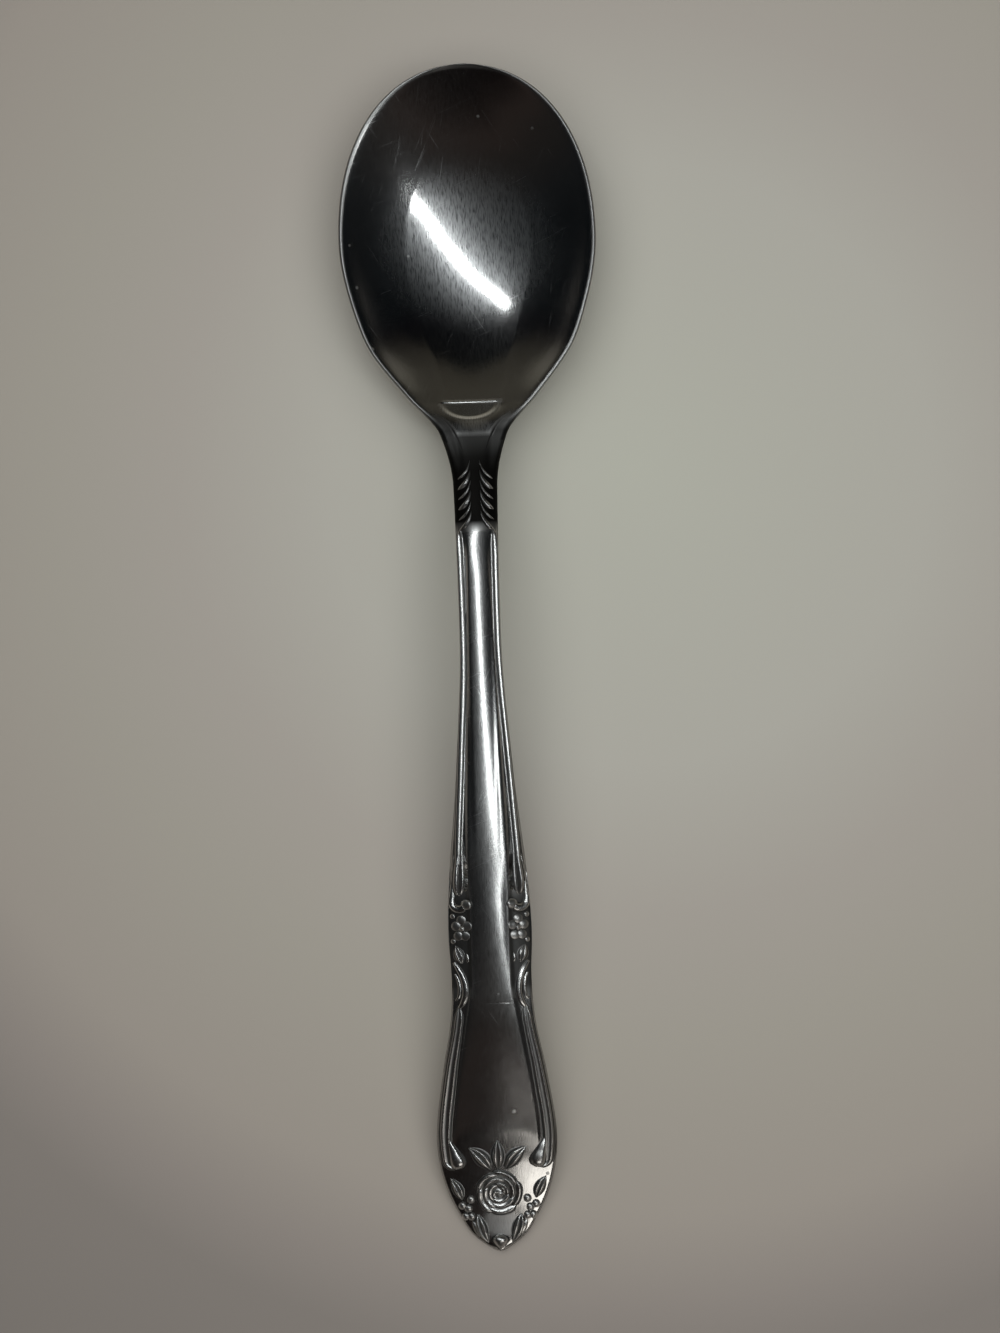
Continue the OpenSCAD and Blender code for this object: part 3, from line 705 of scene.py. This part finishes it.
# Below the flower, a leaf, a stalk, and a long scroll with a curl inside it
shoulderLeafForm = {
    "leaf": ((3.72, 37.9), (4.4, 40.2), 1.05),
    "stalk": ((2.95, 38.0), (3.0, 39.2), 0.36),
    "scroll": [(4.72, 38.05, 0.2), (4.25, 37.35, 0.34), (3.72, 36.3, 0.4), (3.42, 35.1, 0.42),
               (3.42, 33.9, 0.4), (3.75, 32.9, 0.36), (4.2, 32.2, 0.22)],
    "curl": [(4.62, 36.6, 0.12), (4.28, 35.8, 0.2), (4.12, 34.7, 0.22), (4.3, 33.6, 0.2),
             (4.62, 33.15, 0.14)],
}
shoulderLeaves = struck([
    leaf(*shoulderLeafForm["leaf"]),
    leaf(*shoulderLeafForm["stalk"], profile="thread"),
    ridge(shoulderLeafForm["scroll"], "thread"),
    ridge(shoulderLeafForm["curl"], "thread"),
], "shoulderLeaves", "shoulder_leaves", level=0.6)

# Reeded thread along each edge of the handle end, which turns in beside the rose round a swelling foot
endThreadForm = {
    "ends": (32.5, 12.3),
    "edges": (0.92, 1.1),
    "headEdge": 0.05,
    "headPower": 6,  # by which that fades out along the thread
    "halves": (0.46, 0.68),
    "widens": (0, 0.625),  # shares of its length between which it widens
    "pinch": 0.9,  # share of the width that is left where the turn begins
    "pinches": (0.75, 1),
    "steps": 14,
    "steep": 25,
    "least": 0.1,
    "radius": 0.8,
    "turn": -95,  # degrees
    "turnSteps": 8,
    "lastHalf": 0.4,
}
footForm = {"ends": (15.2, 11.15), "edges": (1.45, 2.55), "width": 2.0}


def endThread():
    path = []
    for i in range(endThreadForm["steps"] + 1):
        u = i / endThreadForm["steps"]
        s = lerp(*endThreadForm["ends"], u)
        inward = lerp(*endThreadForm["edges"], u)
        inward += endThreadForm["headEdge"] * (1 - u) ** endThreadForm["headPower"]
        half = lerp(*endThreadForm["halves"], fade(u, *endThreadForm["widens"]))
        half *= roundEnd(u, endThreadForm["steep"], endThreadForm["least"])
        half *= lerp(1, endThreadForm["pinch"], fade(u, *endThreadForm["pinches"]))
        path.append((edgeX(s) - inward, s, half))
    roll, half = endThreadForm["ends"][1], endThreadForm["halves"][1] * endThreadForm["pinch"]
    middle = (edgeX(roll) - endThreadForm["edges"][1] - endThreadForm["radius"], roll)
    for i in range(1, endThreadForm["turnSteps"] + 1):
        u = i / endThreadForm["turnSteps"]
        spot = around(middle, endThreadForm["radius"], endThreadForm["turn"] * u)
        path.append((*spot, lerp(half, endThreadForm["lastHalf"], u)))
    return ridge(path, "reed")


footLeaf = edgeDrop(footForm, "thread")
endThreads = struck([endThread(), footLeaf], "endThreads", "end_threads", level=0.5)

# Rose: curled petals in three rings round a folded heart, on a low dome
roseForm = {
    "s": 7.85,
    "dome": (2.72, 0.24),
    "rings": [  # petals, radii from start to end, half width, span in degrees, first angle, lift
        (5, (2.24, 2.6), 0.44, 88, 20, 0.06),
        (4, (1.58, 1.84), 0.36, 104, 62, 0.2),
        (3, (0.95, 1.14), 0.28, 136, 100, 0.3),
    ],
    "lobes": [((-0.3, -0.28), (40, 290)), ((0.26, 0.3), (220, 470))],
    "lobeRadii": (0.36, 0.28),
    "lobeHalf": 0.2,
    "lobeLift": 0.4,
    "heart": (0.8, 0.46),
}


def rose():
    s = roseForm["s"]
    petals = [bead(0, s, *roseForm["dome"])]
    for count, radii, half, span, first, lift in roseForm["rings"]:
        for k in range(count):
            start = first + 360 / count * k
            petals.append(petal((0, s), radii, (start, start + span), half, lift))
    for (x, off), angles in roseForm["lobes"]:
        petals.append(petal((x, s + off), roseForm["lobeRadii"], angles, roseForm["lobeHalf"],
                            roseForm["lobeLift"]))
    petals.append(bead(0, s, *roseForm["heart"]))
    return petals


roseHead = struck(rose(), "roseHead", "rose", mirrored=False)

# Three leaves above the rose, each with its base, tip, width and bend
roseLeafForm = {
    "middle": ((0, 11.0), (0, 14.9), 1.4, 0),
    "right": ((0.95, 11.0), (3.7, 13.95), 1.45, 0.06),
    "left": ((-0.95, 11.0), (-3.7, 13.95), 1.45, -0.06),
}
leaves = [leaf(*form) for form in roseLeafForm.values()]
roseLeaves = struck(leaves, "roseLeaves", "rose_leaves", mirrored=False)

# Beside and below the rose, a leaf, a spray of buds and two long leaves
sprayForm = {
    "buds": [(3.65, 7.0), (4.0, 5.8), (4.75, 6.2), (3.65, 4.75), (4.4, 4.75)],
    "bud": (0.54, 0.42),
    "side": ((4.75, 7.0), (6.15, 9.9), 1.1, 0.05),
    "long": ((2.75, 5.0), (1.5, 1.2), 1.35, 0.07),
    "slim": ((3.5, 4.2), (2.65, 1.9), 0.62),
}
sideSprays = struck([bead(*spot, *sprayForm["bud"]) for spot in sprayForm["buds"]] + [
    leaf(*sprayForm["side"]),
    leaf(*sprayForm["long"]),
    leaf(*sprayForm["slim"], profile="thread"),
], "sideSprays", "side_sprays")

# Bud at the tip
tipForm = {
    "ends": ((0, 2.3), (0, 0.35)),
    "width": 2.0,
    "swell": [(0, 0.35), (0.1, 0.72), (0.3, 1), (0.5, 0.92), (0.75, 0.55), (0.92, 0.22), (1, 0.06)],
}
tipLeaf = leaf(*tipForm["ends"], tipForm["width"], swell=tipForm["swell"], profile="thread")
tipBud = struck([tipLeaf], "tipBud", "tip_bud", mirrored=False)

for profile in profileCurves.values():
    bpy.data.objects.remove(profile)

# Floor: a plain table top, its colour painted lightest near the spoon as a pool of light and darker further
# out
floorForm = {
    "size": 4.0,
    "drop": 0.00002,
    "roughness": 0.6,
    "paintedLightPool": (0.02, 0.025),  # middle of the painted pool of light
    "reach": 0.4,
    "colours": [
        (0.0, (0.15, 0.135, 0.121, 1)), (0.375, (0.15, 0.135, 0.121, 1)),
        (0.625, (0.165, 0.148, 0.132, 1)), (0.7075, (0.195, 0.174, 0.156, 1)),
        (0.727, (0.235, 0.208, 0.187, 1)), (0.756, (0.295, 0.265, 0.232, 1)),
        (0.8115, (0.325, 0.303, 0.262, 1)), (0.854, (0.352, 0.325, 0.29, 1)),
        (0.9025, (0.4, 0.388, 0.345, 1)), (1.0, (0.425, 0.43, 0.37, 1)),
    ],
}


def addNode(tree, kind, links=None, **settings):
    made = tree.nodes.new(kind)
    for name, value in settings.items():
        setattr(made, name, value)
    for socket, value in (links or {}).items():
        if isinstance(value, bpy.types.NodeSocket):
            tree.links.new(value, made.inputs[socket])
        else:
            made.inputs[socket].default_value = value
    return made


def mathValue(tree, operation, *values):
    return addNode(tree, "ShaderNodeMath", dict(enumerate(values)), operation=operation).outputs["Value"]


def mapRange(tree, value, low, high, top=1):
    ends = {"Value": value, "From Min": low, "From Max": high, "To Max": top}
    return addNode(tree, "ShaderNodeMapRange", ends).outputs["Result"]


def mixColour(tree, factor, first, second, blend="MIX"):
    inputs = {"Factor": factor, 6: first, 7: second}  # colour sockets go by number, as their names repeat
    return addNode(tree, "ShaderNodeMix", inputs, data_type="RGBA", blend_type=blend).outputs[2]


def addRamp(tree, factor, stops):
    ramp = addNode(tree, "ShaderNodeValToRGB", {"Fac": factor})
    while len(ramp.color_ramp.elements) < len(stops):
        ramp.color_ramp.elements.new(0.5)
    for element, (place, colour) in zip(ramp.color_ramp.elements, stops):
        element.position = place
        element.color = colour
    return ramp.outputs["Color"]


def makeFloor():
    deselect()
    bpy.ops.mesh.primitive_plane_add(size=floorForm["size"], location=(0, 0, -floorForm["drop"]))
    floor = bpy.context.object
    floor.name = "floor"
    paint = bpy.data.materials.new("tableTop")
    paint.use_nodes = True
    tree = paint.node_tree
    place = addNode(tree, "ShaderNodeTexCoord").outputs["Object"]
    x, y = floorForm["paintedLightPool"]
    size = 1 / floorForm["reach"]
    moved = addNode(tree, "ShaderNodeMapping", {"Vector": place, "Location": (-x * size, -y * size, 0),
                                                "Scale": (size, size, size)}).outputs["Vector"]
    # painted light: the colour ramp runs from the dark far floor to the lit pool round the spoon
    paintedLightPool = addNode(tree, "ShaderNodeTexGradient", {"Vector": moved}, gradient_type="SPHERICAL").outputs["Fac"]
    shader = tree.nodes["Principled BSDF"]
    tree.links.new(addRamp(tree, paintedLightPool, floorForm["colours"]), shader.inputs["Base Color"])
    shader.inputs["Roughness"].default_value = floorForm["roughness"]
    floor.data.materials.append(paint)


makeFloor()

# One long ceiling tube that crosses above the spoon from right to upper left, a low window beyond the handle
# tip, and a soft fill for the table top. The place of an end is told in shares of the lamp's height
lampForms = {
    "tube": {
        "ends": ((0.785, -0.3), (-0.68, 0.6)),
        "height": 4,
        "width": 0.4,
        "power": 60,
        "colour": (0.93, 0.98, 1),
    },
    "window": {
        "ends": ((1.1, -1.645), (0.172, -1.645)),
        "height": 0.15,
        "width": 0.1085,
        "power": 0.094,
        "colour": (1, 0.97, 0.92),
    },
    "fill": {
        "ends": ((1.0, 0.2), (-1.0, 0.2)),
        "height": 1.5,
        "width": 2.4,
        "power": 30,
        "colour": (1, 0.985, 0.96),
    },
}


def makeLamp(name):
    form = lampForms[name]
    first, last = [Vector((x, y, 1)) * form["height"] for x, y in form["ends"]]
    deselect()
    bpy.ops.object.light_add(type="AREA", location=(first + last) / 2)
    lamp = bpy.context.object
    lamp.name = name
    lamp.data.shape = "RECTANGLE"
    way = last - first
    lamp.data.size = way.length
    lamp.data.size_y = form["width"]
    lamp.data.energy = form["power"]
    lamp.data.color = form["colour"]
    lamp.rotation_euler = (0, 0, math.atan2(way.y, way.x))
    lamp.visible_camera = False
    return lamp


makeLamp("tube")
makeLamp("window")
makeLamp("fill").visible_glossy = False

# Dim room, told by how far a direction leans along the spoon, with a lit wall low behind the bowl
roomForm = {
    "tones": [
        (0.0, (0.003, 0.002, 0.002, 1)), (0.155, (0.004, 0.003, 0.003, 1)), (0.19, (0.012, 0.009, 0.008, 1)),
        (0.228, (0.024, 0.018, 0.016, 1)), (0.29, (0.016, 0.014, 0.013, 1)), (0.42, (0.008, 0.009, 0.01, 1)),
        (0.5, (0.004, 0.005, 0.006, 1)), (0.72, (0.003, 0.004, 0.005, 1)), (0.75, (0.002, 0.002, 0.003, 1)),
        (1.0, (0.002, 0.003, 0.003, 1)),
    ],
    "wall": [
        (0.0, (0, 0, 0, 1)), (0.47, (0, 0, 0, 1)), (0.52, (0.046, 0.041, 0.031, 1)),
        (0.68, (0.055, 0.05, 0.039, 1)), (0.8, (0.2, 0.19, 0.155, 1)), (1.0, (0.35, 0.33, 0.28, 1)),
    ],
    "wallLean": (0, 1, -1.56),  # the wall begins where a direction leans this way by wallFrom
    "wallFrom": -0.15,
    "wallSides": (0.5, 0.84),  # it fades out towards the sides between these leans along the spoon
    "horizon": (0.14, 0.13, 0.118, 1),
    "horizonRise": (0.22, 0.05),  # the pale horizon fades in between these heights
}


def makeRoom():
    world = bpy.data.worlds.new("room")
    bpy.context.scene.world = world
    world.use_nodes = True
    tree = world.node_tree
    place = addNode(tree, "ShaderNodeTexCoord").outputs["Generated"]
    axes = addNode(tree, "ShaderNodeSeparateXYZ", {"Vector": place}).outputs
    room = addRamp(tree, mapRange(tree, axes["Y"], -1, 1), roomForm["tones"])
    low = addNode(tree, "ShaderNodeVectorMath", {0: place, 1: roomForm["wallLean"]}, operation="DOT_PRODUCT")
    start = roomForm["wallFrom"]
    wall = addRamp(tree, mapRange(tree, low.outputs["Value"], start - 1, start + 1), roomForm["wall"])
    both = mixColour(tree, mapRange(tree, axes["Y"], *roomForm["wallSides"]), room, wall, "ADD")
    pale = mapRange(tree, axes["Z"], *roomForm["horizonRise"])
    seen = mixColour(tree, pale, both, roomForm["horizon"], "LIGHTEN")
    tree.links.new(seen, tree.nodes["Background"].inputs["Color"])


makeRoom()

# Camera straight above the spoon, in the photograph's frame
photoView = {
    "frame": (1000, 1333),  # pixels of the photograph
    "scale": 0.12666 * mm,  # metres in one of its pixels, on the spoon
    "plane": 9 * mm,  # height where that scale holds
    "distance": 450 * mm,
    "tilt": 1.9,  # degrees that the bowl leans to the left
    "middle": (2.37 * mm, -0.7 * mm),  # place of the spoon under the middle of the frame
    "film": 36,
    "near": 10 * mm,  # nothing closer than this is drawn
}


def makeCamera():
    deselect()
    bpy.ops.object.camera_add()
    camera = bpy.context.object
    camera.name = "camera"
    turn = math.radians(-photoView["tilt"])
    x, y = photoView["middle"]
    camera.location = (x, y, photoView["plane"] + photoView["distance"])
    camera.rotation_euler = (0, 0, turn)
    camera.data.sensor_fit = "VERTICAL"
    camera.data.sensor_height = photoView["film"]
    camera.data.sensor_width = photoView["film"]
    tall = photoView["frame"][1] * photoView["scale"]
    camera.data.lens = photoView["film"] * photoView["distance"] / tall
    camera.data.clip_start = photoView["near"]
    bpy.context.scene.camera = camera


makeCamera()
print("table top, lamps, room and camera placed")

# Steel wear that both finishes share: long brush lines, hairline scratches, smears and specks
wearForm = {
    "brush": [((6200, 800, 1500), 1, 2), ((8500, 1100, 2000), -3, 1)],  # scale, turn in degrees, detail
    "hairs": [(24, 4200), (-33, 5200), (9, 3900), (68, 4600)],  # turn in degrees, fineness
    "hairLong": (150, 300),
    "hairFade": (0.71, 0.8, 0.6),  # noise where a hairline begins and where it is full, and its strength
    "smear": ((70, 45, 70), 0, 3),
    "smearRough": (0.4, 0.75, 0.06),
    "smearTone": (0.45, 0.8, 0.22),
    "specks": 260,
    "speckFade": (0.07, 0.04),
    "rough": {"plain": 0.06, "brush": 0.05, "hairs": 0.08, "specks": 0.3},
    "height": {"hairs": 0.3, "specks": 1.5},
    "haze": (0.5, 1.1),
}


def makeWear():
    wear = bpy.data.node_groups.new("steelWear", "ShaderNodeTree")
    for name in ["Brush", "Scratches"]:
        socket = wear.interface.new_socket(name, in_out="INPUT", socket_type="NodeSocketFloat")
        socket.default_value = 1
    for name in ["Tone", "Roughness", "Height", "Haze", "Hairs"]:
        wear.interface.new_socket(name, in_out="OUTPUT", socket_type="NodeSocketFloat")
    asked = wear.nodes.new("NodeGroupInput").outputs
    given = wear.nodes.new("NodeGroupOutput").inputs
    place = addNode(wear, "ShaderNodeTexCoord").outputs["Object"]

    def streaks(scale, turn, detail):
        moved = addNode(wear, "ShaderNodeMapping", {"Vector": place, "Rotation": (0, 0, math.radians(turn))})
        sized = addNode(wear, "ShaderNodeMapping", {"Vector": moved.outputs["Vector"], "Scale": scale})
        grain = {"Vector": sized.outputs["Vector"], "Scale": 1, "Detail": detail}
        return addNode(wear, "ShaderNodeTexNoise", grain).outputs["Fac"]

    brush = mathValue(wear, "ADD", *[streaks(*lines) for lines in wearForm["brush"]])
    hairs = 0
    for turn, fine in wearForm["hairs"]:
        line = mapRange(wear, streaks((fine, *wearForm["hairLong"]), turn, 1), *wearForm["hairFade"])
        hairs = mathValue(wear, "MAXIMUM", hairs, line)
    hairs = mathValue(wear, "MULTIPLY", hairs, asked["Scratches"])
    smear = streaks(*wearForm["smear"])
    cells = addNode(wear, "ShaderNodeTexVoronoi", {"Vector": place, "Scale": wearForm["specks"]})
    speck = mapRange(wear, cells.outputs["Distance"], *wearForm["speckFade"])
    share = wearForm["rough"]
    rough = mathValue(wear, "MULTIPLY_ADD", brush, share["brush"], share["plain"])
    rough = mathValue(wear, "ADD", rough, mapRange(wear, smear, *wearForm["smearRough"]))
    rough = mathValue(wear, "MULTIPLY_ADD", hairs, share["hairs"], rough)
    rough = mathValue(wear, "MULTIPLY_ADD", speck, share["specks"], rough)
    height = mathValue(wear, "MULTIPLY", brush, asked["Brush"])
    height = mathValue(wear, "MULTIPLY_ADD", hairs, -wearForm["height"]["hairs"], height)
    height = mathValue(wear, "MULTIPLY_ADD", speck, wearForm["height"]["specks"], height)
    tone = mathValue(wear, "SUBTRACT", 1, mapRange(wear, smear, *wearForm["smearTone"]))
    wear.links.new(tone, given["Tone"])
    wear.links.new(rough, given["Roughness"])
    wear.links.new(height, given["Height"])
    wear.links.new(mapRange(wear, brush, *wearForm["haze"]), given["Haze"])
    wear.links.new(hairs, given["Hairs"])
    return wear


# A faint crease runs across the panel where the shoulder ends
creaseForm = {"s": 32.8, "half": 0.08, "reach": (-0.8, 2.7), "soft": 0.8, "depth": 2.4}


def creased(tree, height):
    place = addNode(tree, "ShaderNodeTexCoord").outputs["Object"]
    axes = addNode(tree, "ShaderNodeSeparateXYZ", {"Vector": place}).outputs
    low, high = [end * mm for end in creaseForm["reach"]]
    soft = creaseForm["soft"] * mm
    off = mathValue(tree, "SUBTRACT", axes["Y"], planY(creaseForm["s"]))
    line = mapRange(tree, mathValue(tree, "ABSOLUTE", off), creaseForm["half"] * mm, 0)
    line = mathValue(tree, "MULTIPLY", line, mapRange(tree, axes["X"], low - soft, low))
    line = mathValue(tree, "MULTIPLY", line, mapRange(tree, axes["X"], high, high - soft))
    return mathValue(tree, "MULTIPLY_ADD", line, -creaseForm["depth"], height)


# The steel itself, and how strongly each finish carries the wear
steelForm = {
    "clean": (0.62, 0.61, 0.59, 1),
    "smeared": (0.4, 0.37, 0.34, 1),
    # oxide colour, which also carries the painted shade on the neck, the flute cheeks and the sides
    "oxideAndShade": (0.014, 0.013, 0.012, 1),
    "worn": (0.48, 0.48, 0.48, 1),
    "dull": {"oxideAndShade": 0.4, "worn": 0.22, "satin": 0.1},  # roughness that each layer adds
    "relief": 0.004 * mm,
    "haze": (0.9, 0.1),  # share of the haze layer in the film, and of the film that lies everywhere
    "hairs": 0.5,
    "filmRoughness": 0.32,
    "filmIndex": 5,
}
finishForms = {
    "polishedSteel": {"brush": 1, "scratches": 1, "soft": 0},
    "struckSteel": {"brush": 0.5, "scratches": 0.5, "soft": 0.13},
}
steelWear = makeWear()


def makeSteel(name):
    form = finishForms[name]
    steel = bpy.data.materials.new(name)
    steel.use_nodes = True
    tree = steel.node_tree
    shader = tree.nodes["Principled BSDF"]
    wear = addNode(tree, "ShaderNodeGroup", node_tree=steelWear)
    wear.inputs["Brush"].default_value = form["brush"]
    wear.inputs["Scratches"].default_value = form["scratches"]
    marks = wear.outputs
    layers = {}
    for layer in ["oxideAndShade", "darkening", "worn", "satin", "haze"]:
        layers[layer] = addNode(tree, "ShaderNodeAttribute", attribute_name=layer).outputs["Fac"]
    # oxide, painted shade and the darkened places all pull the colour towards the oxide colour
    dark = mathValue(tree, "MAXIMUM", layers["oxideAndShade"], layers["darkening"])
    colour = mixColour(tree, marks["Tone"], steelForm["smeared"], steelForm["clean"])
    colour = mixColour(tree, dark, colour, steelForm["oxideAndShade"])
    colour = mixColour(tree, layers["worn"], colour, steelForm["worn"], "MULTIPLY")
    tree.links.new(colour, shader.inputs["Base Color"])
    dull = mathValue(tree, "ADD", marks["Roughness"], form["soft"])
    for layer, share in steelForm["dull"].items():
        dull = mathValue(tree, "MULTIPLY_ADD", layers[layer], share, dull)
    tree.links.new(dull, shader.inputs["Roughness"])
    height = creased(tree, marks["Height"])
    bump = addNode(tree, "ShaderNodeBump", {"Height": height, "Distance": steelForm["relief"]})
    tree.links.new(bump.outputs["Normal"], shader.inputs["Normal"])
    film = mathValue(tree, "MULTIPLY_ADD", layers["haze"], *steelForm["haze"])
    lines = mathValue(tree, "MULTIPLY", marks["Hairs"], steelForm["hairs"])
    film = mathValue(tree, "MULTIPLY_ADD", film, marks["Haze"], lines)
    bare = mathValue(tree, "SUBTRACT", 1, layers["oxideAndShade"])
    tree.links.new(mathValue(tree, "MULTIPLY", film, bare), shader.inputs["Coat Weight"])
    shader.inputs["Metallic"].default_value = 1
    shader.inputs["Coat Roughness"].default_value = steelForm["filmRoughness"]
    shader.inputs["Coat IOR"].default_value = steelForm["filmIndex"]
    return steel


def finished(pieces, steel):
    for piece in pieces:
        piece.data.materials.clear()
        piece.data.materials.append(steel)
    print(steel.name, "on", len(pieces), "of the pieces")


ornament = [leafMarks, stemThreads, stemScrolls, shoulderFlowers, shoulderLeaves, endThreads, roseHead,
            roseLeaves, sideSprays, tipBud]
finished([blank], makeSteel("polishedSteel"))
finished(ornament, makeSteel("struckSteel"))

bpy.context.scene.view_settings.view_transform = "Standard"
